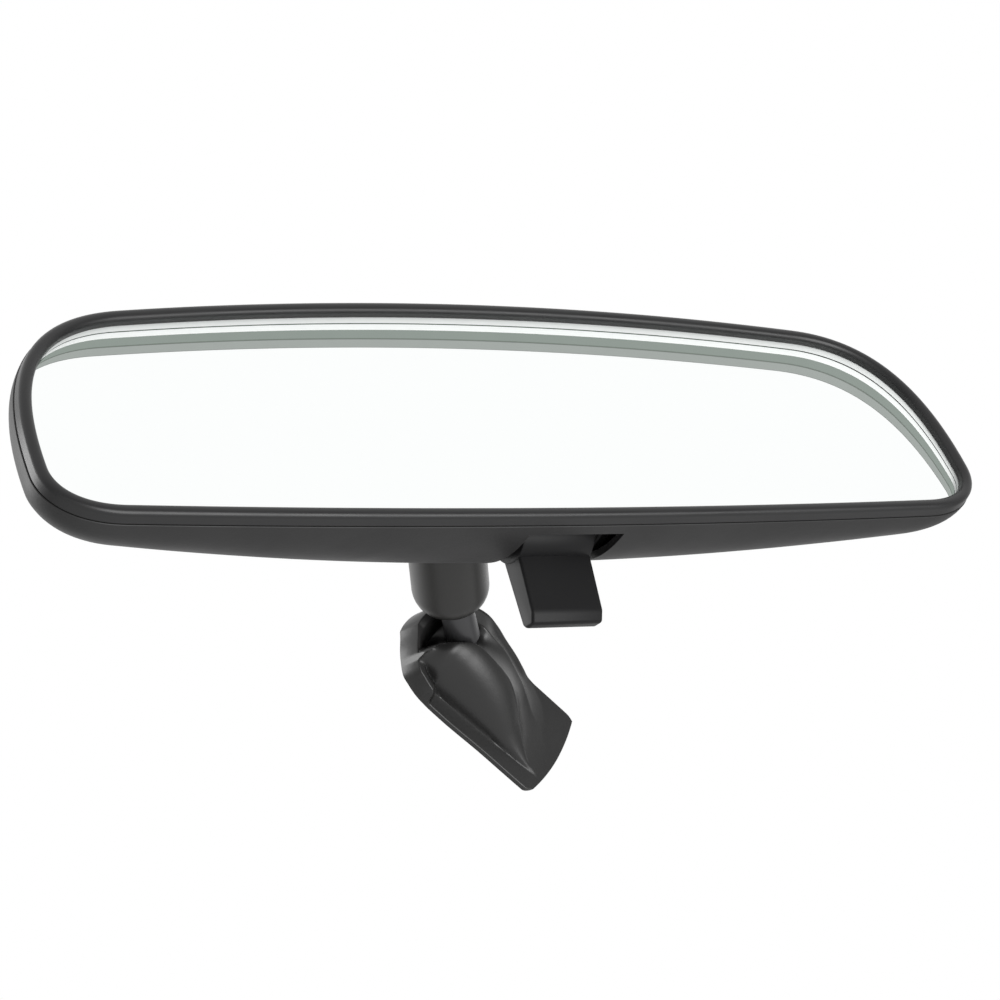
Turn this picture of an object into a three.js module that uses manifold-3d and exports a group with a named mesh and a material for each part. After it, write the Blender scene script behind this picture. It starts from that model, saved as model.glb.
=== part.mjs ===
// Interior day/night rearview mirror on a short twin-ball arm, millimetres, +Z up.
// The glass faces -Y, the head is longest along X, and the arm leaves its back along +Y.
// Head sizes are in the head's own frame: x = 0 at its middle, y = 0 at the bezel's crest.
// The exported group's origin is the centre of the face that is bonded to the windshield.

import * as THREE from 'three';
import { mergeVertices } from 'three/addons/utils/BufferGeometryUtils.js';
import Module from 'manifold-3d';

const wasm = await Module();
wasm.setup();

// ---- Clearances ----
const GAP = 0.3;                 // between pieces that touch
const BALL_GAP = 0.2;            // between a ball, its liner and its seat
const RUN_OUT = 1;               // how far a cutting tool runs past the piece it cuts

// ---- Opening of the bezel: the outline that the head is built on ----
const OPENING_HALF_WIDTH = 120.6;
const OPENING_TOP = 30.3;
const OPENING_BOTTOM = -26.4;
const ARCH_DROP = 5;             // fall of the top edge from the middle to its corner
const BOTTOM_RISE = 1.6;         // rise of the bottom edge from the middle to its corner
const TOP_CORNER = 29.9;         // width of the long upper corner
const BOTTOM_CORNER = 14.7;      // width of the tight lower corner
const WIDEST_ABOVE_BOTTOM = 11.3;
const OUTLINE_STEPS = { side: 10, arch: 6, corner: 8, bottom: 8 };

// ---- Bezel ----
const RIM_WIDTH = 2.9;            // radial width of the rounded rim
const RIM_DRAFT = 0.15;          // how much the rim widens towards the parting line
const PARTING_Y = 3.4;            // back of the rim, where the case begins
const LIP_BACK_Y = 2.5;           // the glass seats against this
const LIP_COVER = 1.2;           // how far the lip laps over the glass edge
const TONGUE_WALL = 0.7;
const TONGUE_DEPTH = 3.5;
const TONGUE_END_GAP = 0.5;

// ---- Glass, silvering and pad ----
const GLASS_LAP = 0.9;           // glass edge outside the opening
const GLASS_THICK_TOP = 5.5;
const GLASS_THICK_BOTTOM = 2.2;
const SILVER_LAP = 0.4;
const PAD_LAP = -0.3;
const SILVER_THICK = 0.4;
const PAD_THICK = 1;

// ---- Rear case ----
const CASE_DEPTH_MIDDLE = 34;
const CASE_DEPTH_END = 19.5;
const CASE_WALL = 1.6;
const MOUTH_WALL = 1;            // thinner wall beside the bezel's tongue
const CASE_BULGE = 0.2;
const CASE_SQUARENESS = 2.35;    // 2 is an ellipse, more is boxier
const CASE_RINGS = 8;
const CASE_FLAT = 0.28;          // share of the section left for the crowned back
const APERTURE_RADIUS = 14.5;

// ---- Day/night mechanism ----
const BRACKET_Y = CASE_DEPTH_MIDDLE - 12;
const TILT_AXIS = { y: BRACKET_Y - 5, z: OPENING_TOP - 13.3 };
const PIN_RADIUS = 1.8;
const PIN_HOLE_GAP = 0.25;
const PIN_PROUD = 0.7;           // how far a hinge pin stands out at each end
const EAR = { inside: 24.5, thick: 3, halfHeight: 5, front: 4, apart: 0.6 };
const BRACKET_HALF_WIDTH = 22;
const BRACKET_THICK = 2.4;
const BRACKET_TOP = TILT_AXIS.z + EAR.halfHeight;
const BRACKET_WEB_FOOT = -4;
const BRACKET_TAIL = -8.5;
const BRACKET_TAIL_HALF_WIDTH = 14;

const DRUM_RADIUS = 9.2;
const TOGGLE_X = 5.5;            // the lever sits a little off the middle
const TOGGLE_AXIS = {
  y: LIP_BACK_Y + GLASS_THICK_BOTTOM + DRUM_RADIUS + 3,
  z: OPENING_BOTTOM + 5.4,
};
const LEVER_WIDTH = 19.4;
const LEVER_TAPER = 0.08;        // share of the width lost at the tip
const LEVER_LEAN = 18;           // degrees back from straight down, in the day position
const LEVER_REACH = 21.8;        // from the axis to the tip
const LEVER_THICK_ROOT = 7;
const LEVER_THICK_TIP = 5.2;
const SLOT_SIDE_GAP = 3;
const SLOT_END_GAP = 1.2;
const LEVER_FRONT = -0.36 * LEVER_THICK_ROOT;
const LEVER_CHAMFER = { front: 1.2, up: 2.6, back: 1 };
const SLOT_RISE = 5;             // how far the slot wraps up the back of the case
const TOGGLE_EAR = { thick: 3, halfDepth: 5, rise: 5, drop: 12 };
const DETENT_LEAF = 0.6;
const DETENT = { halfWidth: 5, bend: 2.6, nose: 4.8, tip: 6.6, rise: 3, clear: 0.6 };

// ---- Ball studs and arm ----
const BALL_RADIUS = 6.4;
const LINER_WALL = 0.8;
const SEAT_WALL = 0.6;
const TUBE_WALL = 0.9;
const MIRROR_BALL = new THREE.Vector3(0, CASE_DEPTH_MIDDLE + 5, 4.4);
const MIRROR_NECK_RADIUS = 3.2;
const FOOT_NECK_RADIUS = 4.1;
const FOOT_NECK_WAIST = 3.7;     // where it leaves the ball
const FOOT_NECK_TAPER = 9.5;     // the neck has its full radius this far from the ball's centre
const SHANK_RADIUS = 3;
const SHANK_PAST_BRACKET = 7;
const FLANGE = { radius: 7.5, thick: 2 };
const WASHER = { radius: 6.5, thick: 1.2 };
const NUT = { radius: 5.2, thick: 3 };
const ARM_DIRECTION = new THREE.Vector3(0.442, 0.881, -0.172).normalize();
const SPRING_ROOM = 8.6;         // between the backs of the seats
const SPRING_WIRE = 0.85;
const SPRING_TURNS = 2.8;
const SPRING_INSET = 2.6;        // from the tube's bore to the middle of the wire
const SPRING_STEPS = 14;         // for each turn
const SHOULDER = 4.6;            // length over which the tube end is crimped in
const MIRROR_LIP = { reach: 0.72 * BALL_RADIUS, radius: 1.055 * BALL_RADIUS };
const FOOT_LIP = { reach: 0.78 * BALL_RADIUS, radius: 0.89 * BALL_RADIUS };
const OPEN_MIRROR = 42;          // degrees from the axis to the liner's edge
const OPEN_FOOT = 80;

// ---- Foot: a = distance from the flared end, v = across, h = above the plate ----
const FOOT_LENGTHWISE = new THREE.Vector3(0.776, 0.322, -0.542);
const FOOT_UPWARD = new THREE.Vector3(0.12, -0.919, -0.375);
const FOOT_LENGTH = 50;
const FOOT_HALF_WIDTH = 13;
const FOOT_ROUND_END = 12.5;     // length of the rounded upper end
const PLATE_THICK = 1.5;
const BALL_FROM_FLARE = FOOT_LENGTH + 3.8;
const BALL_ABOVE_PLATE = 19.7;
const BALL_OFF_MIDDLE = 4.5;
const NECK_ANGLE = 39;           // degrees between the neck and the plate
const NECK_SUNK = 19;            // neck length from the ball's centre
const SHANK_SUNK = 26;
const RIDGE = {
  middle: 1,
  halfWidth: 7.2,
  height: 12.8,
  from: 3,
  full: FOOT_LENGTH - 19,
  end: FOOT_LENGTH - 7.5,
  gone: FOOT_LENGTH - 5,
};
const WALL = {
  crest: FOOT_HALF_WIDTH - 4.2,
  height: 9.4,
  from: 8.3,
  slope: 25,
  edgeFrom: 13.5,
  edgeSlope: 0.46,
};
const RIM = {
  side: 9.4,
  end: 5.7,
  left: 4.7,
  inner: FOOT_HALF_WIDTH - 6.8,
  outer: FOOT_HALF_WIDTH - 3.1,
};
const BOND_PAD_THICK = 0.8;
const BOND_PAD_INSET = 1.2;

const ROUND = 32;                // sides of a large round piece
const SMALL_ROUND = 20;

// ---- Geometry helpers ----
function facingOut(positions, triangles) {
  const [a, b, c] = [0, 1, 2].map(() => new THREE.Vector3());
  let volume = 0;
  for (let i = 0; i < triangles.length; i += 3) {
    a.fromArray(positions, 3 * triangles[i]);
    b.fromArray(positions, 3 * triangles[i + 1]);
    c.fromArray(positions, 3 * triangles[i + 2]);
    volume += a.dot(b.cross(c));
  }
  return volume > 0;
}

// Turns a closed three.js geometry into a solid that can be joined and cut.
function solid(geometry) {
  const bare = geometry.clone();
  bare.deleteAttribute('normal');
  bare.deleteAttribute('uv');
  const merged = mergeVertices(bare, 1e-4);
  const positions = Float32Array.from(merged.attributes.position.array);
  const triangles = [];
  const index = merged.index.array;
  for (let i = 0; i < index.length; i += 3) {
    const [p, q, r] = [index[i], index[i + 1], index[i + 2]];
    if (p === q || q === r || r === p) continue;
    triangles.push(p, q, r);
  }
  if (!facingOut(positions, triangles)) triangles.reverse();
  const triVerts = Uint32Array.from(triangles);
  return new wasm.Manifold(new wasm.Mesh({ numProp: 3, vertProperties: positions, triVerts }));
}

function geometryOf(body) {
  const { numProp, vertProperties, triVerts } = body.getMesh();
  const positions = new Float32Array((vertProperties.length / numProp) * 3);
  for (let i = 0; i < positions.length / 3; i += 1) {
    positions.set(vertProperties.slice(i * numProp, i * numProp + 3), 3 * i);
  }
  const geometry = new THREE.BufferGeometry();
  geometry.setAttribute('position', new THREE.BufferAttribute(positions, 3));
  geometry.setIndex([...triVerts]);
  geometry.computeVertexNormals();
  return geometry;
}

const join = (...bodies) => bodies.reduce((all, body) => all.add(body));
const cut = (body, ...tools) => tools.reduce((left, tool) => left.subtract(tool), body);

function box(x0, x1, y0, y1, z0, z1) {
  const shape = new THREE.BoxGeometry(x1 - x0, y1 - y0, z1 - z0);
  shape.translate((x0 + x1) / 2, (y0 + y1) / 2, (z0 + z1) / 2);
  return solid(shape);
}

function rodAlongX(radius, x0, x1, y, z, sides = SMALL_ROUND) {
  const shape = new THREE.CylinderGeometry(radius, radius, x1 - x0, sides);
  shape.rotateZ(Math.PI / 2);
  shape.translate((x0 + x1) / 2, y, z);
  return solid(shape);
}

function rodAlongY(radius, y0, y1, x = 0, z = 0, sides = SMALL_ROUND) {
  const shape = new THREE.CylinderGeometry(radius, radius, y1 - y0, sides);
  shape.translate(x, (y0 + y1) / 2, z);
  return solid(shape);
}

// Revolves [radius, distance along +Y] pairs about the Y axis.
function turned(profile, sides = ROUND) {
  return solid(new THREE.LatheGeometry(profile.map(([r, y]) => new THREE.Vector2(r, y)), sides));
}

// Points of an arc in [radius, along] form, from one polar angle to another, in degrees from +Y.
function arc(radius, fromDeg, toDeg, steps, centre = 0) {
  return Array.from({ length: steps + 1 }, (_, i) => {
    const angle = THREE.MathUtils.degToRad(fromDeg + ((toDeg - fromDeg) * i) / steps);
    return [Math.max(radius * Math.sin(angle), 0), centre + radius * Math.cos(angle)];
  });
}

function surface(positions, triangles) {
  const geometry = new THREE.BufferGeometry();
  geometry.setAttribute('position', new THREE.Float32BufferAttribute(positions, 3));
  geometry.setIndex(triangles);
  return geometry;
}

// Joins rings of equal count. A looped skin is a closed frame, any other one gets two end caps
// whose strips run between the points above and below each other.
function skin(rings, looped) {
  const count = rings[0].length;
  const positions = rings.flat().flatMap((p) => [p.x, p.y, p.z]);
  const triangles = [];
  const last = looped ? rings.length : rings.length - 1;
  for (let r = 0; r < last; r += 1) {
    for (let i = 0; i < count; i += 1) {
      const here = r * count + i;
      const beside = r * count + ((i + 1) % count);
      const above = ((r + 1) % rings.length) * count + i;
      const across = ((r + 1) % rings.length) * count + ((i + 1) % count);
      triangles.push(here, beside, above, beside, across, above);
    }
  }
  if (!looped) {
    for (const [start, flip] of [[0, true], [(rings.length - 1) * count, false]]) {
      for (let i = 0; i < count / 2; i += 1) {
        const quad = [i, i + 1, count - i - 1, (count - i) % count].map((k) => start + k);
        if (flip) quad.reverse();
        const [p, q, r, s] = quad;
        if (new Set([p, q, r]).size === 3) triangles.push(p, q, r);
        if (new Set([p, r, s]).size === 3) triangles.push(p, r, s);
      }
    }
  }
  return solid(surface(positions, triangles));
}

// ---- The head's outline ----
function openingOutline() {
  const at = (x, z) => new THREE.Vector2(x, z);
  const bottomEnd = at(OPENING_HALF_WIDTH - BOTTOM_CORNER, OPENING_BOTTOM + BOTTOM_RISE);
  const widest = at(OPENING_HALF_WIDTH, OPENING_BOTTOM + WIDEST_ABOVE_BOTTOM);
  const topEnd = at(OPENING_HALF_WIDTH - TOP_CORNER, OPENING_TOP - ARCH_DROP);
  const height = OPENING_TOP - OPENING_BOTTOM;
  const bottomSlope = (2 * BOTTOM_RISE) / bottomEnd.x;
  const archSlope = (2 * ARCH_DROP) / topEnd.x;
  const side = new THREE.CubicBezierCurve(
    widest,
    at(widest.x, widest.y + 0.44 * height),
    at(topEnd.x + 0.7 * TOP_CORNER, topEnd.y - 0.7 * TOP_CORNER * archSlope),
    topEnd,
  );
  const arch = new THREE.QuadraticBezierCurve(topEnd, at(topEnd.x / 2, OPENING_TOP), at(0, OPENING_TOP));
  const corner = new THREE.CubicBezierCurve(
    widest,
    at(widest.x, widest.y - 0.53 * WIDEST_ABOVE_BOTTOM),
    at(bottomEnd.x + 0.6 * BOTTOM_CORNER, bottomEnd.y + 0.6 * BOTTOM_CORNER * bottomSlope),
    bottomEnd,
  );
  const bottom = new THREE.QuadraticBezierCurve(
    bottomEnd,
    at(bottomEnd.x / 2, OPENING_BOTTOM),
    at(0, OPENING_BOTTOM),
  );
  const over = [
    ...side.getPoints(OUTLINE_STEPS.side).slice(0, -1),
    ...arch.getPoints(OUTLINE_STEPS.arch),
  ];
  const under = [
    ...corner.getPoints(OUTLINE_STEPS.corner).slice(0, -1),
    ...bottom.getPoints(OUTLINE_STEPS.bottom),
  ];
  const mirrored = (points) => points.map((p) => at(-p.x, p.y));
  return [
    ...over,
    ...mirrored(over.slice(0, -1)).reverse(),
    ...mirrored(under.slice(1)),
    ...under.slice(1, -1).reverse(),
  ];
}

const OUTLINE = openingOutline();

// The outline moved outwards by grow, at a depth that may depend on x and z.
function ring(grow, depth) {
  const count = OUTLINE.length;
  return OUTLINE.map((point, i) => {
    const along = OUTLINE[(i + 1) % count].clone().sub(OUTLINE[(i + count - 1) % count]).normalize();
    const x = point.x + grow * along.y;
    const z = point.y - grow * along.x;
    return new THREE.Vector3(x, typeof depth === 'function' ? depth(x, z) : depth, z);
  });
}

function plateBetween(grow, front, back) {
  return skin([ring(grow, front), ring(grow, back)], false);
}

// ---- Head pieces ----
const NOSE = RIM_WIDTH / 2;
const CASE_MOUTH_Y = PARTING_Y + GAP;
const GLASS_FRONT_Y = LIP_BACK_Y + GAP;

function bezel() {
  const nose = [0, 30, 60, 90, 120, 150, 180].map((deg) => {
    const angle = THREE.MathUtils.degToRad(deg);
    return [NOSE - NOSE * Math.cos(angle), NOSE - NOSE * Math.sin(angle)];
  });
  const profile = [
    [0, LIP_BACK_Y],
    ...nose,
    [RIM_WIDTH + RIM_DRAFT, PARTING_Y],
    [LIP_COVER + TONGUE_WALL, PARTING_Y],
    [LIP_COVER + TONGUE_WALL, PARTING_Y + TONGUE_DEPTH],
    [LIP_COVER, PARTING_Y + TONGUE_DEPTH],
    [LIP_COVER, LIP_BACK_Y],
  ];
  return skin(profile.map(([grow, y]) => ring(grow, y)), true);
}

function glassBack(x, z) {
  const share = (z - OPENING_BOTTOM) / (OPENING_TOP - OPENING_BOTTOM);
  return GLASS_FRONT_Y + GLASS_THICK_BOTTOM + share * (GLASS_THICK_TOP - GLASS_THICK_BOTTOM);
}

const behindGlass = (extra) => (x, z) => glassBack(x, z) + extra;
const PAD_FRONT = GAP + SILVER_THICK + GAP;

// The case narrows towards a level line behind the glass and is deepest in the middle.
function caseForm(start, grow, wall) {
  const spineHalf = OPENING_HALF_WIDTH - (OPENING_TOP - OPENING_BOTTOM) / 2;
  const spineZ = (OPENING_TOP + OPENING_BOTTOM) / 2;
  const depthAt = (x) => {
    const share = Math.min(Math.abs(x) / OPENING_HALF_WIDTH, 1) ** 2;
    return CASE_DEPTH_MIDDLE + (CASE_DEPTH_END - CASE_DEPTH_MIDDLE) * share - wall;
  };
  const mouth = ring(grow, 0);
  const section = (turn) => {
    const narrow = Math.cos(turn) ** (2 / CASE_SQUARENESS);
    const deep = Math.sin(turn) ** (2 / CASE_SQUARENESS);
    return mouth.map((p) => {
      const spineX = THREE.MathUtils.clamp(p.x, -spineHalf, spineHalf);
      const x = spineX + (p.x - spineX) * narrow;
      const z = spineZ + (p.z - spineZ) * narrow;
      return new THREE.Vector3(x, start + (depthAt(x) - start) * deep, z);
    });
  };
  const lastTurn = Math.acos(CASE_FLAT ** (CASE_SQUARENESS / 2));
  const rings = Array.from({ length: CASE_RINGS }, (_, i) => section((lastTurn * i) / (CASE_RINGS - 1)));
  return skin(rings, false);
}

function hingeEar(side, inside, holeRadius, y0, y1) {
  const x0 = side > 0 ? inside : -inside - EAR.thick;
  const x1 = x0 + EAR.thick;
  const { y, z } = TILT_AXIS;
  const ear = box(x0, x1, y0, y1, z - EAR.halfHeight, z + EAR.halfHeight);
  return cut(ear, rodAlongX(holeRadius, x0 - RUN_OUT, x1 + RUN_OUT, y, z));
}

const CASE_EAR_INSIDE = EAR.inside + EAR.thick + EAR.apart;
const SLOT_HALF_WIDTH = LEVER_WIDTH / 2 + SLOT_SIDE_GAP;

function toggleEar(side) {
  const { thick, halfDepth, rise, drop } = TOGGLE_EAR;
  const x0 = side > 0 ? TOGGLE_X + SLOT_HALF_WIDTH : TOGGLE_X - SLOT_HALF_WIDTH - thick;
  const { y, z } = TOGGLE_AXIS;
  const ear = box(x0, x0 + thick, y - halfDepth, y + halfDepth, z - drop, z + rise);
  return cut(ear, rodAlongX(PIN_RADIUS + PIN_HOLE_GAP, x0 - RUN_OUT, x0 + thick + RUN_OUT, y, z));
}

function rearCase() {
  const outside = caseForm(CASE_MOUTH_Y, RIM_WIDTH + RIM_DRAFT + CASE_BULGE, 0);
  const insideGrow = RIM_WIDTH + RIM_DRAFT + CASE_BULGE - CASE_WALL;
  const inside = caseForm(CASE_MOUTH_Y - RUN_OUT, insideGrow, CASE_WALL);
  const rabbet = plateBetween(
    RIM_WIDTH + RIM_DRAFT - MOUTH_WALL,
    CASE_MOUTH_Y - RUN_OUT,
    PARTING_Y + TONGUE_DEPTH + TONGUE_END_GAP,
  );
  const hole = PIN_RADIUS + PIN_HOLE_GAP;
  const ears = join(
    hingeEar(1, CASE_EAR_INSIDE, hole, TILT_AXIS.y - EAR.front, CASE_DEPTH_MIDDLE),
    hingeEar(-1, CASE_EAR_INSIDE, hole, TILT_AXIS.y - EAR.front, CASE_DEPTH_MIDDLE),
    toggleEar(1),
    toggleEar(-1),
  ).intersect(outside);
  const slot = box(
    TOGGLE_X - SLOT_HALF_WIDTH,
    TOGGLE_X + SLOT_HALF_WIDTH,
    TOGGLE_AXIS.y - DRUM_RADIUS - SLOT_END_GAP,
    TOGGLE_AXIS.y + DRUM_RADIUS + SLOT_END_GAP,
    OPENING_BOTTOM - CASE_DEPTH_MIDDLE,
    TOGGLE_AXIS.z + SLOT_RISE,
  );
  const { x, y, z } = MIRROR_BALL;
  const aperture = rodAlongY(APERTURE_RADIUS, BRACKET_Y, y, x, z, ROUND);
  const shell = join(cut(outside, inside, rabbet), ears);
  return cut(shell, slot, aperture);
}

function pivotBracket() {
  const hole = PIN_RADIUS + PIN_HOLE_GAP;
  const back = BRACKET_Y + BRACKET_THICK;
  const reach = EAR.inside + EAR.thick;
  const plate = box(-reach, reach, BRACKET_Y, back, TILT_AXIS.z - EAR.halfHeight, BRACKET_TOP);
  const web = box(
    -BRACKET_HALF_WIDTH,
    BRACKET_HALF_WIDTH,
    BRACKET_Y,
    back,
    BRACKET_WEB_FOOT,
    BRACKET_TOP,
  );
  const tail = box(
    -BRACKET_TAIL_HALF_WIDTH,
    BRACKET_TAIL_HALF_WIDTH,
    BRACKET_Y,
    back,
    BRACKET_TAIL,
    BRACKET_WEB_FOOT + RUN_OUT,
  );
  const ears = join(
    hingeEar(1, EAR.inside, hole, TILT_AXIS.y - EAR.front, back),
    hingeEar(-1, EAR.inside, hole, TILT_AXIS.y - EAR.front, back),
  );
  const { x, z } = MIRROR_BALL;
  const studHole = rodAlongY(SHANK_RADIUS + GAP, BRACKET_Y - RUN_OUT, back + RUN_OUT, x, z);
  return cut(join(plate, web, tail, ears), studHole);
}

function hingePin(side) {
  const length = 2 * EAR.thick + EAR.apart + 2 * PIN_PROUD;
  const x0 = side > 0 ? EAR.inside - PIN_PROUD : -EAR.inside + PIN_PROUD - length;
  return rodAlongX(PIN_RADIUS, x0, x0 + length, TILT_AXIS.y, TILT_AXIS.z);
}

// A drum that closes the slot in the case, with the tab leaned back from it.
function toggleLever() {
  const { y, z } = TOGGLE_AXIS;
  const [x0, x1] = [TOGGLE_X - LEVER_WIDTH / 2, TOGGLE_X + LEVER_WIDTH / 2];
  const tipBack = LEVER_FRONT + LEVER_THICK_TIP;
  const tab = extrudedAlongX([
    [LEVER_FRONT, 0],
    [LEVER_FRONT, LEVER_CHAMFER.up - LEVER_REACH],
    [LEVER_FRONT + LEVER_CHAMFER.front, -LEVER_REACH],
    [tipBack - LEVER_CHAMFER.back, -LEVER_REACH],
    [tipBack, LEVER_CHAMFER.back - LEVER_REACH],
    [LEVER_FRONT + LEVER_THICK_ROOT, 0],
  ], x0, x1);
  const corners = tab.attributes.position;
  for (let i = 0; i < corners.count; i += 1) {
    const narrowing = (LEVER_TAPER * corners.getZ(i)) / LEVER_REACH;
    corners.setX(i, TOGGLE_X + (corners.getX(i) - TOGGLE_X) * (1 + narrowing));
  }
  tab.rotateX(THREE.MathUtils.degToRad(LEVER_LEAN));
  tab.translate(0, y, z);
  const drum = rodAlongX(DRUM_RADIUS, x0, x1, y, z, ROUND);
  const bore = rodAlongX(PIN_RADIUS + PIN_HOLE_GAP, x0 - RUN_OUT, x1 + RUN_OUT, y, z);
  return cut(join(drum, solid(tab)), bore);
}

function togglePin() {
  const reach = SLOT_HALF_WIDTH + TOGGLE_EAR.thick;
  return rodAlongX(PIN_RADIUS, TOGGLE_X - reach, TOGGLE_X + reach, TOGGLE_AXIS.y, TOGGLE_AXIS.z);
}

// Extrudes a side view of [y, z] points along X.
function extrudedAlongX(points, x0, x1) {
  const outline = new THREE.Shape(points.map(([y, z]) => new THREE.Vector2(y, z)));
  const bar = new THREE.ExtrudeGeometry(outline, { depth: x1 - x0, bevelEnabled: false });
  const axes = [new THREE.Vector3(0, 1, 0), new THREE.Vector3(0, 0, 1), new THREE.Vector3(1, 0, 0)];
  bar.applyMatrix4(new THREE.Matrix4().makeBasis(...axes));
  bar.translate(x0, 0, 0);
  return bar;
}

// The outline of a bent leaf: a line of [y, z] points given a thickness to its right.
function strip(points, thickness) {
  const along = (i) => {
    const [from, to] = [points[Math.max(i, 0)], points[Math.min(i + 1, points.length - 1)]];
    return new THREE.Vector2(to[0] - from[0], to[1] - from[1]).normalize();
  };
  const inside = points.map(([y, z], i) => {
    const before = along(i - 1).lengthSq() ? along(i - 1) : along(i);
    const after = along(i).lengthSq() ? along(i) : along(i - 1);
    const mitre = before.add(after).normalize();
    const reach = thickness / Math.abs(mitre.dot(after));
    return [y + mitre.y * reach, z - mitre.x * reach];
  });
  return [...points, ...inside.reverse()];
}

// A bent leaf on the bracket's tail that presses towards the lever's drum.
function detentSpring() {
  const front = BRACKET_Y - GAP;
  const top = MIRROR_BALL.z - WASHER.radius - 2 * GAP;
  const nose = TOGGLE_AXIS.z + DRUM_RADIUS + DETENT.clear;
  return solid(extrudedAlongX(strip([
    [front, top],
    [front, BRACKET_TAIL + DETENT.bend - RUN_OUT],
    [front - DETENT.bend, nose + DETENT_LEAF],
    [front - DETENT.nose, nose + DETENT_LEAF],
    [front - DETENT.tip, nose + DETENT.rise],
  ], DETENT_LEAF), -DETENT.halfWidth, DETENT.halfWidth));
}

function mirrorBallStud() {
  const flangeBack = MIRROR_BALL.y - BRACKET_Y - BRACKET_THICK - GAP;
  const neckMeetsBall = THREE.MathUtils.radToDeg(Math.asin(MIRROR_NECK_RADIUS / BALL_RADIUS));
  const shankEnd = -flangeBack - BRACKET_THICK - SHANK_PAST_BRACKET;
  return turned([
    ...arc(BALL_RADIUS, 0, 180 - neckMeetsBall, 12),
    [MIRROR_NECK_RADIUS, FLANGE.thick - flangeBack],
    [FLANGE.radius, FLANGE.thick - flangeBack],
    [FLANGE.radius, -flangeBack],
    [SHANK_RADIUS, -flangeBack],
    [SHANK_RADIUS, shankEnd],
    [0, shankEnd],
  ]);
}

function studWasher() {
  const y1 = BRACKET_Y - GAP;
  const disc = rodAlongY(WASHER.radius, y1 - WASHER.thick, y1, MIRROR_BALL.x, MIRROR_BALL.z, ROUND);
  return cut(disc, rodAlongY(SHANK_RADIUS + GAP, 0, BRACKET_Y, MIRROR_BALL.x, MIRROR_BALL.z));
}

function studNut() {
  const y1 = BRACKET_Y - 2 * GAP - WASHER.thick;
  const hexagon = rodAlongY(NUT.radius, y1 - NUT.thick, y1, MIRROR_BALL.x, MIRROR_BALL.z, 6);
  return cut(hexagon, rodAlongY(SHANK_RADIUS + GAP, 0, BRACKET_Y, MIRROR_BALL.x, MIRROR_BALL.z));
}

// ---- Arm pieces: the foot-side ball's centre is at 0, the mirror-side one at -BALL_SPACING ----
const LINER_OUTSIDE = BALL_RADIUS + BALL_GAP + LINER_WALL;
const SEAT_RADIUS = LINER_OUTSIDE + BALL_GAP;
const BORE_RADIUS = SEAT_RADIUS + SEAT_WALL + BALL_GAP;
const TUBE_RADIUS = BORE_RADIUS + TUBE_WALL;
const SEAT_FRONT = 2.2;          // seat cup's rim behind the ball's centre
const SEAT_FLOOR = 1.4;
const SEAT_BACK = SEAT_RADIUS + SEAT_FLOOR;
const BALL_SPACING = 2 * SEAT_BACK + SPRING_ROOM;

// A thin tube whose ends are crimped in over the balls.
function armTube() {
  const end = (sign, centre, { reach, radius }) => [
    [radius, centre + sign * (reach - 0.9)],
    [radius + 0.35, centre + sign * reach],
    [(radius + TUBE_RADIUS) / 2, centre + sign * (reach - 0.5)],
    [TUBE_RADIUS - 1.2, centre + sign * (reach - 0.3 * SHOULDER)],
    [TUBE_RADIUS - 0.35, centre + sign * (reach - 0.6 * SHOULDER)],
    [TUBE_RADIUS, centre + sign * (reach - SHOULDER)],
  ];
  const bore = (sign, centre, { reach }) => [
    [BORE_RADIUS, centre + sign * (reach - SHOULDER + 0.4)],
    [BORE_RADIUS - 0.45, centre + sign * (reach - 2.3)],
  ];
  const outside = [...end(1, 0, FOOT_LIP), ...end(-1, -BALL_SPACING, MIRROR_LIP).reverse()];
  const inside = [...bore(-1, -BALL_SPACING, MIRROR_LIP).reverse(), ...bore(1, 0, FOOT_LIP)];
  return turned([...outside, ...inside, outside[0]]);
}

function seatCup() {
  const rimRadius = Math.sqrt(SEAT_RADIUS ** 2 - SEAT_FRONT ** 2);
  const outside = BORE_RADIUS - BALL_GAP;
  const rimAngle = THREE.MathUtils.radToDeg(Math.atan2(rimRadius, -SEAT_FRONT));
  return turned([
    [0, -SEAT_BACK],
    [outside, -SEAT_BACK],
    [outside, -SEAT_FRONT],
    ...arc(SEAT_RADIUS, rimAngle, 180, 8),
  ]);
}

// A polymer shell round the ball, open where the neck leaves it.
function ballLiner(openAngle) {
  return turned([
    ...arc(BALL_RADIUS + BALL_GAP, 180, openAngle, 10),
    ...arc(LINER_OUTSIDE, openAngle, 180, 10),
  ], 28);
}

class Helix extends THREE.Curve {
  constructor(radius, turns, length) {
    super();
    Object.assign(this, { radius, turns, length });
  }

  getPoint(t, target = new THREE.Vector3()) {
    const angle = 2 * Math.PI * this.turns * t;
    return target.set(this.radius * Math.cos(angle), this.length * t, this.radius * Math.sin(angle));
  }
}

function armSpring() {
  const room = BALL_SPACING - 2 * SEAT_BACK - 2 * GAP - 2 * SPRING_WIRE;
  const wire = new THREE.Shape();
  wire.absarc(0, 0, SPRING_WIRE, 0, 2 * Math.PI);
  const coil = new THREE.ExtrudeGeometry(wire, {
    extrudePath: new Helix(BORE_RADIUS - SPRING_INSET, SPRING_TURNS, room),
    steps: Math.round(SPRING_TURNS * SPRING_STEPS),
    curveSegments: 3,
    bevelEnabled: false,
  });
  coil.translate(0, -BALL_SPACING + SEAT_BACK + GAP + SPRING_WIRE, 0);
  return solid(coil);
}

// ---- Foot pieces ----
const smooth = (from, to, value) => THREE.MathUtils.smoothstep(value, from, to);

function footHalfWidth(a) {
  const into = (a - (FOOT_LENGTH - FOOT_ROUND_END)) / FOOT_ROUND_END;
  return into <= 0 ? FOOT_HALF_WIDTH : FOOT_HALF_WIDTH * Math.sqrt(Math.max(1 - into * into, 0));
}

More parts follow.
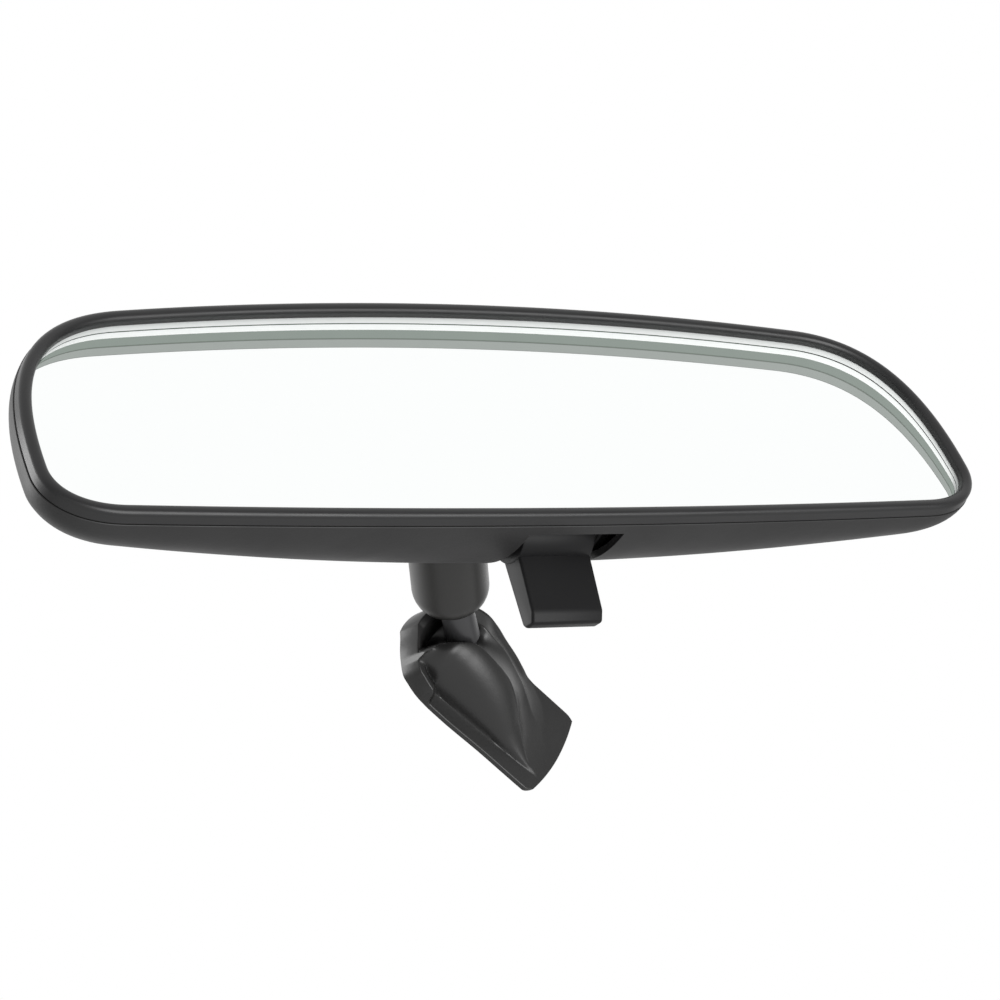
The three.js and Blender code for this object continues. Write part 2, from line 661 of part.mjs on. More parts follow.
// A round ridge down the middle, a wall on one side and a low rim round the upper end.
function footHeight(a, v) {
  const across = Math.min(Math.abs(v - RIDGE.middle) / RIDGE.halfWidth, 1);
  const rise = smooth(RIDGE.from, RIDGE.full, a) * (1 - smooth(RIDGE.end, RIDGE.gone, a));
  const ridge = RIDGE.height * rise * Math.sqrt(1 - across * across);
  const straight = FOOT_LENGTH - FOOT_ROUND_END;
  const crest = THREE.MathUtils.clamp((WALL.height * (a - WALL.from)) / WALL.slope, 0, WALL.height);
  const edge = THREE.MathUtils.clamp(WALL.edgeSlope * (a - WALL.edgeFrom), 0, crest);
  const outward = THREE.MathUtils.clamp((v - WALL.crest) / (FOOT_HALF_WIDTH - WALL.crest), 0, 1);
  let wall = (crest + (edge - crest) * outward) * smooth(RIDGE.halfWidth - 1, WALL.crest, v);
  if (a > straight - 3) {
    const into = Math.max(a - straight, 0) * (FOOT_HALF_WIDTH / FOOT_ROUND_END);
    const reach = Math.hypot(into, v);
    const turn = Math.atan2(v, into) / (Math.PI / 2);
    const top = turn > 0 ? RIM.end + (RIM.side - RIM.end) * turn : RIM.end + (RIM.end - RIM.left) * turn;
    const rim = top * smooth(RIM.inner, RIM.outer, reach) * smooth(straight - 3, straight, a);
    wall = Math.max(a > straight ? 0 : wall, rim);
  }
  return Math.max(ridge, wall);
}

// A closed body over the foot's outline, from a flat underside up to a height at each point.
function footBody(inset, rows, columns, top, bottom) {
  const positions = [];
  const place = (v, a, h) => positions.push(-v, -a, h);
  const lastRow = FOOT_LENGTH - 0.25 - inset;
  const rowAt = (i) => {
    const straight = FOOT_LENGTH - FOOT_ROUND_END;
    const bend = Math.round(rows * 0.68);
    if (i <= bend) return inset + ((straight - inset) * i) / bend;
    const turn = ((i - bend) / (rows - bend)) * (Math.PI / 2);
    return straight + (lastRow - straight) * Math.sin(turn);
  };
  for (let i = 0; i <= rows; i += 1) {
    const a = rowAt(i);
    const half = Math.max(footHalfWidth(a) - inset, 0.8);
    for (let j = 0; j <= columns; j += 1) {
      const v = half * ((2 * j) / columns - 1);
      place(v, a, top(a, v));
    }
    place(-half, a, bottom);
    place(half, a, bottom);
  }
  const width = columns + 3;
  const triangles = [];
  const quad = (p, q, r, s) => triangles.push(p, q, r, p, r, s);
  for (let i = 0; i < rows; i += 1) {
    const [here, next] = [i * width, (i + 1) * width];
    for (let j = 0; j < columns; j += 1) quad(here + j, here + j + 1, next + j + 1, next + j);
    const [low, high] = [columns + 1, columns + 2];
    quad(here + columns, here + high, next + high, next + columns);
    quad(here + high, here + low, next + low, next + high);
    quad(here + low, here, next, next + low);
  }
  for (const [row, flip] of [[0, false], [rows, true]]) {
    const start = row * width;
    const loop = [columns + 1, columns + 2, ...Array.from({ length: columns + 1 }, (_, j) => columns - j)];
    for (let k = 1; k < loop.length - 1; k += 1) {
      const fan = [start + loop[0], start + loop[k], start + loop[k + 1]];
      triangles.push(...(flip ? fan.reverse() : fan));
    }
  }
  return solid(surface(positions, triangles));
}

const NECK_DIRECTION = new THREE.Vector3(
  0,
  Math.cos(THREE.MathUtils.degToRad(NECK_ANGLE)),
  -Math.sin(THREE.MathUtils.degToRad(NECK_ANGLE)),
);
const FOOT_BALL = new THREE.Vector3(-BALL_OFF_MIDDLE, -BALL_FROM_FLARE, BALL_ABOVE_PLATE);
const UP_Y = new THREE.Vector3(0, 1, 0);

function alongNeck(body) {
  const turn = new THREE.Quaternion().setFromUnitVectors(UP_Y, NECK_DIRECTION);
  const geometry = geometryOf(body);
  geometry.applyQuaternion(turn);
  geometry.translate(FOOT_BALL.x, FOOT_BALL.y, FOOT_BALL.z);
  return solid(geometry);
}

function footBallStud() {
  const neckMeetsBall = THREE.MathUtils.radToDeg(Math.asin(FOOT_NECK_WAIST / BALL_RADIUS));
  return turned([
    ...arc(BALL_RADIUS, 180, neckMeetsBall, 12),
    [FOOT_NECK_RADIUS, FOOT_NECK_TAPER],
    [FOOT_NECK_RADIUS, NECK_SUNK],
    [SHANK_RADIUS, NECK_SUNK],
    [SHANK_RADIUS, SHANK_SUNK],
    [0, SHANK_SUNK],
  ]);
}

function mountBase() {
  const blank = footBody(0, 25, 20, footHeight, -PLATE_THICK);
  const bore = turned([
    [0, 2],
    [FOOT_NECK_RADIUS + GAP, 2],
    [FOOT_NECK_RADIUS + GAP, NECK_SUNK + GAP],
    [SHANK_RADIUS + GAP, NECK_SUNK + GAP],
    [SHANK_RADIUS + GAP, SHANK_SUNK + GAP],
    [0, SHANK_SUNK + GAP],
  ]);
  return cut(blank, alongNeck(bore));
}

function bondingPad() {
  const top = -PLATE_THICK - GAP;
  return footBody(BOND_PAD_INSET, 12, 2, () => top, top - BOND_PAD_THICK);
}

// ---- Assembly ----
const FINISH = {
  case: { color: 0x3c3c3d, roughness: 0.62, metalness: 0 },
  bezel: { color: 0x343435, roughness: 0.5, metalness: 0 },
  lever: { color: 0x2b2b2d, roughness: 0.45, metalness: 0 },
  glass: { color: 0xd9efe6, roughness: 0.02, metalness: 0 },
  silver: { color: 0xe8eaea, roughness: 0.04, metalness: 1 },
  foam: { color: 0x2a2a2a, roughness: 0.95, metalness: 0 },
  nylon: { color: 0x1f1f20, roughness: 0.5, metalness: 0 },
  steel: { color: 0x9a9c9e, roughness: 0.35, metalness: 1 },
  spring: { color: 0xb5b6b4, roughness: 0.3, metalness: 1 },
  paint: { color: 0x3e3c39, roughness: 0.42, metalness: 0.2 },
  casting: { color: 0x434244, roughness: 0.48, metalness: 0.2 },
};

function piece(group, name, body, finish) {
  const mesh = new THREE.Mesh(geometryOf(body), new THREE.MeshStandardMaterial(FINISH[finish]));
  mesh.name = name;
  group.add(mesh);
  return mesh;
}

const head = new THREE.Group();
piece(head, 'bezel', bezel(), 'bezel');
piece(head, 'rear_case', rearCase(), 'case');
piece(head, 'prism_glass', plateBetween(GLASS_LAP, GLASS_FRONT_Y, glassBack), 'glass');
const silver = plateBetween(SILVER_LAP, behindGlass(GAP), behindGlass(GAP + SILVER_THICK));
piece(head, 'silver_backing', silver, 'silver');
const pad = plateBetween(PAD_LAP, behindGlass(PAD_FRONT), behindGlass(PAD_FRONT + PAD_THICK));
piece(head, 'backing_pad', pad, 'foam');
piece(head, 'pivot_bracket', pivotBracket(), 'nylon');
piece(head, 'hinge_pin_left', hingePin(-1), 'steel');
piece(head, 'hinge_pin_right', hingePin(1), 'steel');
piece(head, 'toggle_lever', toggleLever(), 'lever');
piece(head, 'toggle_pin', togglePin(), 'steel');
piece(head, 'detent_spring', detentSpring(), 'spring');
piece(head, 'stud_washer', studWasher(), 'steel');
piece(head, 'stud_nut', studNut(), 'steel');
piece(head, 'mirror_ball_stud', mirrorBallStud(), 'steel').position.copy(MIRROR_BALL);

const mirrorLiner = piece(head, 'mirror_ball_liner', ballLiner(OPEN_MIRROR), 'nylon');
mirrorLiner.position.copy(MIRROR_BALL);
mirrorLiner.rotation.x = Math.PI;

const arm = new THREE.Group();
arm.position.copy(MIRROR_BALL).addScaledVector(ARM_DIRECTION, BALL_SPACING);
arm.quaternion.setFromUnitVectors(UP_Y, ARM_DIRECTION);
piece(arm, 'arm_tube', armTube(), 'paint');
piece(arm, 'arm_spring', armSpring(), 'spring');
piece(arm, 'foot_seat_cup', seatCup(), 'nylon');
piece(arm, 'foot_ball_liner', ballLiner(OPEN_FOOT), 'nylon');
const mirrorSeat = piece(arm, 'mirror_seat_cup', seatCup(), 'nylon');
mirrorSeat.rotation.x = Math.PI;
mirrorSeat.position.y = -BALL_SPACING;

const foot = new THREE.Group();
const upward = FOOT_UPWARD.clone().normalize();
const lengthwise = FOOT_LENGTHWISE.clone().addScaledVector(upward, -FOOT_LENGTHWISE.dot(upward)).normalize();
const sideways = lengthwise.clone().cross(upward);
foot.quaternion.setFromRotationMatrix(new THREE.Matrix4().makeBasis(sideways, lengthwise, upward));
foot.position.copy(arm.position).sub(FOOT_BALL.clone().applyQuaternion(foot.quaternion));
piece(foot, 'mount_base', mountBase(), 'casting');
piece(foot, 'bonding_pad', bondingPad(), 'foam');
piece(foot, 'foot_ball_stud', alongNeck(footBallStud()), 'steel');

const windshieldFace = new THREE.Vector3(0, -FOOT_LENGTH / 2, -PLATE_THICK - GAP - BOND_PAD_THICK);
windshieldFace.applyQuaternion(foot.quaternion).add(foot.position);

const mirror = new THREE.Group();
mirror.add(head, arm, foot);
mirror.position.copy(windshieldFace).negate();

export default mirror;
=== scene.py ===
import math

import bmesh
import bpy
import numpy as np
from mathutils import Matrix, Vector


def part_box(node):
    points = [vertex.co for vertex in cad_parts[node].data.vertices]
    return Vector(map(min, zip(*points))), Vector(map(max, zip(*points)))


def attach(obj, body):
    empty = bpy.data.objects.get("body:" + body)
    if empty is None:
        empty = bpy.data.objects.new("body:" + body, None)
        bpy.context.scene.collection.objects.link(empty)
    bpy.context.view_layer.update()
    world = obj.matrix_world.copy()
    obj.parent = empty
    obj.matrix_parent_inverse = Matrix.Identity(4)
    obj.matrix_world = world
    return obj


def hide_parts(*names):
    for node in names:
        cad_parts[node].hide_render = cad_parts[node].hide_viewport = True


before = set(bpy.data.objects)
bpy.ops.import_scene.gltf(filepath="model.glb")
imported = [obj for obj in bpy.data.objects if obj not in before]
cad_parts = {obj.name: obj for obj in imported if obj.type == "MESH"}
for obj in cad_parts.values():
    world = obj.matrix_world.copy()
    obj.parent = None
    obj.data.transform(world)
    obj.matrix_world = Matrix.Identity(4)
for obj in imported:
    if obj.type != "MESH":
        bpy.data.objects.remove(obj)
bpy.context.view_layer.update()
MM = 0.001

# ---- The head's own frame: x = 0 at its middle, y = 0 at the bezel's crest, mm ----
low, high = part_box("bezel")
RIM_ABOVE_AXIS = 33.35
HEAD = Vector(((low.x + high.x) / 2, low.y, high.z - RIM_ABOVE_AXIS * MM))


def head(x, y, z):
    return HEAD + Vector((x, y, z)) * MM


def unit(*v):
    return Vector(v).normalized()


# ---- Materials ----
def principled(name, color, rough, metal=0.0, spec=0.5):
    mat = bpy.data.materials.new(name)
    mat.use_nodes = True
    nodes = mat.node_tree.nodes
    shader = nodes["Principled BSDF"]
    shader.inputs["Base Color"].default_value = (*color, 1)
    shader.inputs["Roughness"].default_value = rough
    shader.inputs["Metallic"].default_value = metal
    shader.inputs["Specular IOR Level"].default_value = spec
    return mat, nodes, mat.node_tree.links, shader


def noise(nodes, links, scale, detail=4.0, rough=0.55):
    where = nodes.new("ShaderNodeTexCoord")
    tex = nodes.new("ShaderNodeTexNoise")
    tex.inputs["Scale"].default_value = scale
    tex.inputs["Detail"].default_value = detail
    tex.inputs["Roughness"].default_value = rough
    links.new(where.outputs["Object"], tex.inputs["Vector"])
    return tex


def spread(nodes, links, source, low_value, high_value):
    ramp = nodes.new("ShaderNodeMapRange")
    ramp.inputs["From Min"].default_value = 0.3
    ramp.inputs["From Max"].default_value = 0.7
    ramp.inputs["To Min"].default_value = low_value
    ramp.inputs["To Max"].default_value = high_value
    links.new(source, ramp.inputs["Value"])
    return ramp.outputs["Result"]


# A satin surface with a fine moulded or painted grain and soft wear in its sheen.
def grained(name, color, rough, grain, grain_scale, metal=0.0, spec=0.5, wear=0.06):
    mat, nodes, links, shader = principled(name, color, rough, metal, spec)
    broad = noise(nodes, links, 45, 3)
    sheen = spread(nodes, links, broad.outputs["Fac"], rough - wear, rough + wear)
    links.new(sheen, shader.inputs["Roughness"])
    mix = nodes.new("ShaderNodeMix")
    mix.data_type = "RGBA"
    mix.inputs["A"].default_value = (*[c * 0.86 for c in color], 1)
    mix.inputs["B"].default_value = (*[c * 1.14 for c in color], 1)
    links.new(broad.outputs["Fac"], mix.inputs["Factor"])
    links.new(mix.outputs["Result"], shader.inputs["Base Color"])
    fine = noise(nodes, links, grain_scale, 5)
    bump = nodes.new("ShaderNodeBump")
    bump.inputs["Strength"].default_value = grain
    bump.inputs["Distance"].default_value = 0.0001
    links.new(fine.outputs["Fac"], bump.inputs["Height"])
    links.new(bump.outputs["Normal"], shader.inputs["Normal"])
    return mat


# Steel with fine marks along one of its axes.
def brushed(name, color, rough):
    mat, nodes, links, shader = principled(name, color, rough, 1.0)
    where = nodes.new("ShaderNodeTexCoord")
    stretch = nodes.new("ShaderNodeMapping")
    stretch.inputs["Scale"].default_value = (60, 2600, 60)
    tex = nodes.new("ShaderNodeTexNoise")
    tex.inputs["Scale"].default_value = 1
    tex.inputs["Detail"].default_value = 3
    links.new(where.outputs["Object"], stretch.inputs["Vector"])
    links.new(stretch.outputs["Vector"], tex.inputs["Vector"])
    sheen = spread(nodes, links, tex.outputs["Fac"], rough - 0.07, rough + 0.07)
    links.new(sheen, shader.inputs["Roughness"])
    bump = nodes.new("ShaderNodeBump")
    bump.inputs["Strength"].default_value = 0.15
    bump.inputs["Distance"].default_value = 0.00005
    links.new(tex.outputs["Fac"], bump.inputs["Height"])
    links.new(bump.outputs["Normal"], shader.inputs["Normal"])
    return mat


# Second surface mirror: nearly white, with a breath of green and of smear in its sheen.
def silvered(name, color, rough):
    mat, nodes, links, shader = principled(name, color, rough, 1.0)
    smear = noise(nodes, links, 28, 2)
    links.new(spread(nodes, links, smear.outputs["Fac"], rough, rough + 0.015), shader.inputs["Roughness"])
    return mat


# Painted reflection: flat coloured bands that stand in for the prism's bright ground edge, its mirrored
# double image, and the bezel's dark lip reflected in the silvering.
def painted_prism_reflection(name, color, metal=1.0):
    mat, nodes, links, shader = principled(name, color, 0.12, metal)
    cloud = noise(nodes, links, 120, 3)
    mix = nodes.new("ShaderNodeMix")
    mix.data_type = "RGBA"
    mix.inputs["A"].default_value = (*[c * 0.96 for c in color], 1)
    mix.inputs["B"].default_value = (*[min(c * 1.04, 1) for c in color], 1)
    links.new(cloud.outputs["Fac"], mix.inputs["Factor"])
    links.new(mix.outputs["Result"], shader.inputs["Base Color"])
    return mat


BEZEL = grained("bezel_plastic", (0.011, 0.011, 0.0115), 0.36, 0.10, 2600, spec=0.45)
CASE = grained("case_plastic", (0.014, 0.0138, 0.014), 0.5, 0.3, 1500, spec=0.45)
LEVER = grained("lever_plastic", (0.007, 0.007, 0.0075), 0.42, 0.12, 2200, spec=0.2)
TUBE = grained("tube_paint", (0.011, 0.0105, 0.0095), 0.33, 0.10, 1800)
CASTING = grained("casting_paint", (0.014, 0.0138, 0.0136), 0.36, 0.3, 900)
STUD = grained("stud_steel", (0.05, 0.05, 0.052), 0.36, 0.05, 2000, 0.4)
STEEL = brushed("pin_steel", (0.55, 0.56, 0.57), 0.3)
SPRING = brushed("spring_steel", (0.6, 0.6, 0.58), 0.28)
NYLON = grained("nylon", (0.03, 0.03, 0.03), 0.5, 0.1, 1600)
FOAM = grained("foam", (0.03, 0.03, 0.03), 0.9, 1.0, 1400)
BOND = grained("bonding_adhesive", (0.035, 0.035, 0.035), 0.8, 0.6, 700)
MIRROR = silvered("mirror_glass", (0.975, 0.99, 0.985), 0.01)
SILVER = silvered("silvering", (0.93, 0.94, 0.94), 0.03)
# Painted light and reflection for the prism's edge: a bright glow for the ground edge and its mirror image,
# a painted dark line between them, and greenish and grey bands for the bezel's dark lip mirrored in the
# silvering.
PAINTED_EDGE_GLOW = painted_prism_reflection("prism_painted_edge_glow", (0.93, 0.96, 0.945), 0.0)
PAINTED_SHADE_LINE = painted_prism_reflection("prism_painted_shade_line", (0.16, 0.205, 0.18))
PAINTED_LIP_REFLECTION_GREEN = painted_prism_reflection("prism_painted_lip_reflection_green", (0.28, 0.322, 0.293))
PAINTED_LIP_REFLECTION_LINE = painted_prism_reflection("prism_painted_lip_reflection_line", (0.198, 0.227, 0.202))
PAINTED_LIP_REFLECTION_GREY = painted_prism_reflection("prism_painted_lip_reflection_grey", (0.366, 0.397, 0.376))


# ---- Mesh building ----
def mesh_object(name, verts, faces, mats, sharp_deg=38, face_mats=None):
    mesh = bpy.data.meshes.new(name)
    mesh.from_pydata([tuple(v) for v in verts], [], faces)
    bm = bmesh.new()
    bm.from_mesh(mesh)
    if face_mats is not None:
        for face, slot_index in zip(bm.faces, face_mats):
            face.material_index = slot_index
    bmesh.ops.remove_doubles(bm, verts=bm.verts, dist=1e-6)
    bmesh.ops.recalc_face_normals(bm, faces=bm.faces)
    bm.to_mesh(mesh)
    bm.free()
    for mat in mats:
        mesh.materials.append(mat)
    obj = bpy.data.objects.new(name, mesh)
    bpy.context.scene.collection.objects.link(obj)
    smooth(obj, sharp_deg)
    return obj


def smooth(obj, sharp_deg):
    bm = bmesh.new()
    bm.from_mesh(obj.data)
    limit = math.radians(sharp_deg)
    for face in bm.faces:
        face.smooth = True
    for edge in bm.edges:
        edge.smooth = edge.calc_face_angle(0) < limit
    bm.to_mesh(obj.data)
    bm.free()


def grid_faces(rows, columns, looped_rows=False, looped_columns=True):
    faces = []
    for r in range(rows if looped_rows else rows - 1):
        for c in range(columns if looped_columns else columns - 1):
            a, b = r * columns + c, r * columns + (c + 1) % columns
            up = ((r + 1) % rows) * columns
            faces.append((a, b, up + (c + 1) % columns, up + c))
    return faces


# Runs each modifier on obj into its own mesh.
def baked(obj):
    graph = bpy.context.evaluated_depsgraph_get()
    mesh = bpy.data.meshes.new_from_object(obj.evaluated_get(graph))
    obj.modifiers.clear()
    obj.data = mesh
    return obj


# ---- The head's outline, as in the CAD ----
HALF, TOP, BOTTOM = 120.6, 30.3, -26.4
ARCH, RISE = 5.0, 1.6
TOP_CORNER, LOW_CORNER, WIDEST = 29.9, 14.7, 11.3


def bezier(points, steps):
    pts = [np.array(p, float) for p in points]
    out = []
    for i in range(steps + 1):
        t = i / steps
        level = pts
        while len(level) > 1:
            level = [(1 - t) * a + t * b for a, b in zip(level, level[1:])]
        out.append(level[0])
    return out


def outline():
    low_end = (HALF - LOW_CORNER, BOTTOM + RISE)
    wide = (HALF, BOTTOM + WIDEST)
    top_end = (HALF - TOP_CORNER, TOP - ARCH)
    low_slope = 2 * RISE / low_end[0]
    arch_slope = 2 * ARCH / top_end[0]
    height = TOP - BOTTOM
    side = bezier([
        wide,
        (wide[0], wide[1] + 0.44 * height),
        (top_end[0] + 0.7 * TOP_CORNER, top_end[1] - 0.7 * TOP_CORNER * arch_slope),
        top_end,
    ], 40)
    arch = bezier([top_end, (top_end[0] / 2, TOP), (0, TOP)], 26)
    corner = bezier([
        wide,
        (wide[0], wide[1] - 0.53 * WIDEST),
        (low_end[0] + 0.6 * LOW_CORNER, low_end[1] + 0.6 * LOW_CORNER * low_slope),
        low_end,
    ], 26)
    base = bezier([low_end, (low_end[0] / 2, BOTTOM), (0, BOTTOM)], 40)
    over = side[:-1] + arch
    under = corner[:-1] + base
    flip = np.array([-1, 1])
    left_over = [p * flip for p in over[:-1]][::-1]
    left_under = [p * flip for p in under[1:]]
    return np.array(over + left_over + left_under + under[1:-1][::-1])


RING = outline()
ALONG = np.roll(RING, -1, 0) - np.roll(RING, 1, 0)
ALONG /= np.linalg.norm(ALONG, axis=1)[:, None]
OUTWARD = np.stack([ALONG[:, 1], -ALONG[:, 0]], 1)
COUNT = len(RING)


def ring(grow, depth):
    pts = RING + grow * OUTWARD
    return [head(x, depth(x, z) if callable(depth) else depth, z) for x, z in pts]


# ---- Bezel ----
RIM, DRAFT, PARTING = 2.9, 0.15, 3.4


def arc_profile(cx, cy, radius, from_deg, to_deg, steps):
    out = []
    for i in range(steps + 1):
        angle = math.radians(from_deg + (to_deg - from_deg) * i / steps)
        out.append((cx + radius * math.cos(angle), cy + radius * math.sin(angle)))
    return out


nose = RIM / 2
LIP_BACK, BACK_ROUND = 2.5, 0.18
TONGUE_OUT, TONGUE_IN, TONGUE_BACK = 1.9, 1.2, 6.9
bezel_profile = [(0.0, LIP_BACK), (0.0, 2.0)]
bezel_profile += arc_profile(nose, nose, nose, 180, 360, 22)
bezel_profile += [(RIM + 0.08, 2.2), (RIM + DRAFT, PARTING - 0.3)]
bezel_profile += arc_profile(RIM + DRAFT - BACK_ROUND, PARTING - BACK_ROUND, BACK_ROUND, 0, 90, 4)
bezel_profile += [(2.2, PARTING), (TONGUE_OUT, PARTING), (TONGUE_OUT, TONGUE_BACK)]
bezel_profile += [(TONGUE_IN, TONGUE_BACK), (TONGUE_IN, LIP_BACK)]
verts = [p for grow, y in bezel_profile for p in ring(grow, y)]
faces = grid_faces(len(bezel_profile), COUNT, looped_rows=True)
bezel = mesh_object("bezel_rim", verts, faces, [BEZEL], 40)
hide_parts("bezel")
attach(bezel, "head")

# ---- Rear case ----
DEPTH_MIDDLE, DEPTH_END, WALL, BULGE, SQUARE, FLAT = 34, 19.5, 1.6, 0.2, 2.35, 0.28
MOUTH = PARTING + 0.1
SPINE_HALF = HALF - (TOP - BOTTOM) / 2
SPINE_Z = (TOP + BOTTOM) / 2


def case_ring(grow, start, wall, narrow, deep):
    pts = RING + grow * OUTWARD
    out = []
    for px, pz in pts:
        sx = max(-SPINE_HALF, min(SPINE_HALF, px))
        x, z = sx + (px - sx) * narrow, SPINE_Z + (pz - SPINE_Z) * narrow
        share = min(abs(x) / HALF, 1) ** 2
        depth = DEPTH_MIDDLE + (DEPTH_END - DEPTH_MIDDLE) * share - wall
        out.append(head(x, start + (depth - start) * deep, z))
    return out


def case_skin(grow, start, wall, steps):
    last = math.acos(FLAT ** (SQUARE / 2))
    rings = []
    for i in range(steps):
        turn = last * i / (steps - 1)
        narrow, deep = math.cos(turn) ** (2 / SQUARE), math.sin(turn) ** (2 / SQUARE)
        rings.append((narrow, deep))
    end = rings[-1]
    rings += [(end[0] * k, end[1] + 0.012 * (1 - k * k)) for k in (0.8, 0.6, 0.4, 0.2)]
    return [case_ring(grow, start, wall, *r) for r in rings]


# The wall, with the mouth's outer edge rounded over.
CASE_GROW = RIM + DRAFT + BULGE
outer = [
    case_skin(CASE_GROW - 0.35, MOUTH, 0, 30)[0],
    ring(CASE_GROW - 0.12, MOUTH + 0.03),
    ring(CASE_GROW, MOUTH + 0.16),
]
outer += case_skin(CASE_GROW, MOUTH, 0, 30)[1:]
inner = case_skin(CASE_GROW - WALL, MOUTH, WALL, 16)
rings = outer[::-1] + inner
verts = [p for r in rings for p in r]
faces = grid_faces(len(rings), COUNT)
# Strips from left to right close the middle of the outer and the inner skin.
for start in (0, (len(rings) - 1) * COUNT):
    for i in range(COUNT // 2):
        across = (start + i, start + i + 1, start + COUNT - i - 1, start + (COUNT - i) % COUNT)
        faces.append(tuple(dict.fromkeys(across)))
case = mesh_object("case_shell", verts, [f for f in faces if len(f) > 2], [CASE], 40)

TOGGLE_X, TOGGLE_Y, TOGGLE_Z = 5.5, 16.9, -21.0
DRUM, LEVER_WIDE = 9.2, 19.4
SLOT_HALF = LEVER_WIDE / 2 + 3


def block(name, x0, x1, y0, y1, z0, z1):
    corners = [head(x, y, z) for z in (z0, z1) for y in (y0, y1) for x in (x0, x1)]
    faces = [(0, 2, 3, 1), (4, 5, 7, 6), (0, 1, 5, 4), (2, 6, 7, 3), (0, 4, 6, 2), (1, 3, 7, 5)]
    return mesh_object(name, corners, faces, [])


def turned(name, profile, mats, place, sides=96):
    verts = []
    for radius, along in profile:
        for i in range(sides):
            angle = 2 * math.pi * i / sides
            verts.append(place @ Vector((radius * math.cos(angle), along, radius * math.sin(angle))))
    faces = grid_faces(len(profile), sides)
    closed = [f for f in faces if len({tuple(round(c, 7) for c in verts[i]) for i in f}) > 2]
    return mesh_object(name, verts, closed, mats, 36)


def cut(target, tool):
    modifier = target.modifiers.new("cut", "BOOLEAN")
    modifier.operation = "DIFFERENCE"
    modifier.solver = "EXACT"
    modifier.object = tool
    baked(target)
    bpy.data.objects.remove(tool)


def frame_at(origin, along):
    turn = Vector((0, 1, 0)).rotation_difference(along).to_matrix().to_4x4()
    return Matrix.Translation(origin) @ turn @ Matrix.Scale(MM, 4)


SLOT_GAP, SLOT_TOP = 1.2, TOGGLE_Z + 5
slot_x = (TOGGLE_X - SLOT_HALF, TOGGLE_X + SLOT_HALF)
slot_y = (TOGGLE_Y - DRUM - SLOT_GAP, TOGGLE_Y + DRUM + SLOT_GAP)
cut(case, block("slot_tool", *slot_x, *slot_y, BOTTOM - 20, SLOT_TOP))
BALL_Y, BALL_Z, HOLE_R = 39, 4.4, 14.5
hole = [(0.0, 15.0), (HOLE_R, 15.0), (HOLE_R, 50.0), (0.0, 50.0)]
cut(case, turned("hole_tool", hole, [], frame_at(head(0, 0, BALL_Z), unit(0, 1, 0)), 128))
smooth(case, 34)
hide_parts("rear_case")
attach(case, "head")

# The cheeks beside the lever, which carry its pin.
CHEEK, CHEEK_HALF, CHEEK_FOOT = 3, 6, 2.5
cheek_yz = (TOGGLE_Y - CHEEK_HALF, TOGGLE_Y + CHEEK_HALF, BOTTOM + CHEEK_FOOT, SLOT_TOP)
for side, name in ((-1, "cheek_left"), (1, "cheek_right")):
    x0 = TOGGLE_X + side * SLOT_HALF
    x1 = x0 + side * CHEEK
    cheek = block(name, min(x0, x1), max(x0, x1), *cheek_yz)
    cheek.data.materials.append(CASE)
    soft = cheek.modifiers.new("soft", "BEVEL")
    soft.width = 0.6 * MM
    soft.segments = 3
    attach(cheek, "head")

# ---- Prism glass ----
GLASS_FRONT, GLASS_GROW, GLASS_CHAMFER = 2.8, 0.9, 0.2
THIN, WEDGE = 2.2, 3.3


def glass_back(x, z):
    share = (z - BOTTOM) / (TOP - BOTTOM)
    return GLASS_FRONT + THIN + share * WEDGE


rows = [
    ring(GLASS_GROW - GLASS_CHAMFER, GLASS_FRONT),
    ring(GLASS_GROW, GLASS_FRONT + GLASS_CHAMFER),
    ring(GLASS_GROW, glass_back),
]
verts = [p for r in rows for p in r]
faces = grid_faces(len(rows), COUNT)
kinds = [1] * len(faces)
faces.append(tuple(range(COUNT)))
kinds.append(0)
last = (len(rows) - 1) * COUNT
faces.append(tuple(range(last, last + COUNT))[::-1])
kinds.append(1)
# The glass's edge and back faces take the painted edge glow, a bright colour standing in for light scattered
# in the ground edge.
glass = mesh_object("mirror_prism", verts, faces, [MIRROR, PAINTED_EDGE_GLOW], 20, kinds)
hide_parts("prism_glass")
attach(glass, "head")

# The painted reflection bands (the glass's bright ground edge, its double image, and the bezel's dark lip
# mirrored in the silvering) follow the upper right side, and narrow where the prism thins.
SLANT = np.array([0.7246, 0.689])
FACING = OUTWARD @ SLANT
LIFT, LIFT_STEP = 0.03, 0.012
# Where each band starts and stops, inward from the glass's edge.
PAINTED_REFLECTION_BANDS = [
    (-1.3, 2.3, PAINTED_EDGE_GLOW),
    (2.3, 2.75, PAINTED_SHADE_LINE),
    (2.75, 5.3, PAINTED_EDGE_GLOW),
    (5.3, 9.0, PAINTED_LIP_REFLECTION_GREEN),
    (9.0, 9.5, PAINTED_LIP_REFLECTION_LINE),
    (9.5, 13.0, PAINTED_LIP_REFLECTION_GREY),
]


def painted_band_edge(reach, lift):
    out = []
    for (x, z), face in zip(RING, FACING):
        thick = 0.5 + 0.5 * (z - BOTTOM) / (TOP - BOTTOM)
        shift = reach * (thick if reach > 0 else 1)
        px, pz = (x, z) - SLANT * shift
        out.append(head(px, GLASS_FRONT - lift, pz))
    return out


# Each strip is a sheet of painted reflection or painted shade, shifted along the fixed slant over the
# mirror.
for number, (start, stop, mat) in enumerate(PAINTED_REFLECTION_BANDS):
    lift = LIFT + LIFT_STEP * (len(PAINTED_REFLECTION_BANDS) - number)
    near, far = painted_band_edge(start, lift), painted_band_edge(stop, lift)
    verts = near + far
    faces = []
    for i in range(COUNT):
        k = (i + 1) % COUNT
        if FACING[i] > 0 and FACING[k] > 0:
            faces.append((i, k, COUNT + k, COUNT + i))
    strip = mesh_object(f"prism_painted_band_{number}", verts, faces, [mat])
    bm = bmesh.new()
    bm.from_mesh(strip.data)
    loose = [v for v in bm.verts if not v.link_faces]
    bmesh.ops.delete(bm, geom=loose, context="VERTS")
    bm.to_mesh(strip.data)
    bm.free()
    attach(strip, "head")

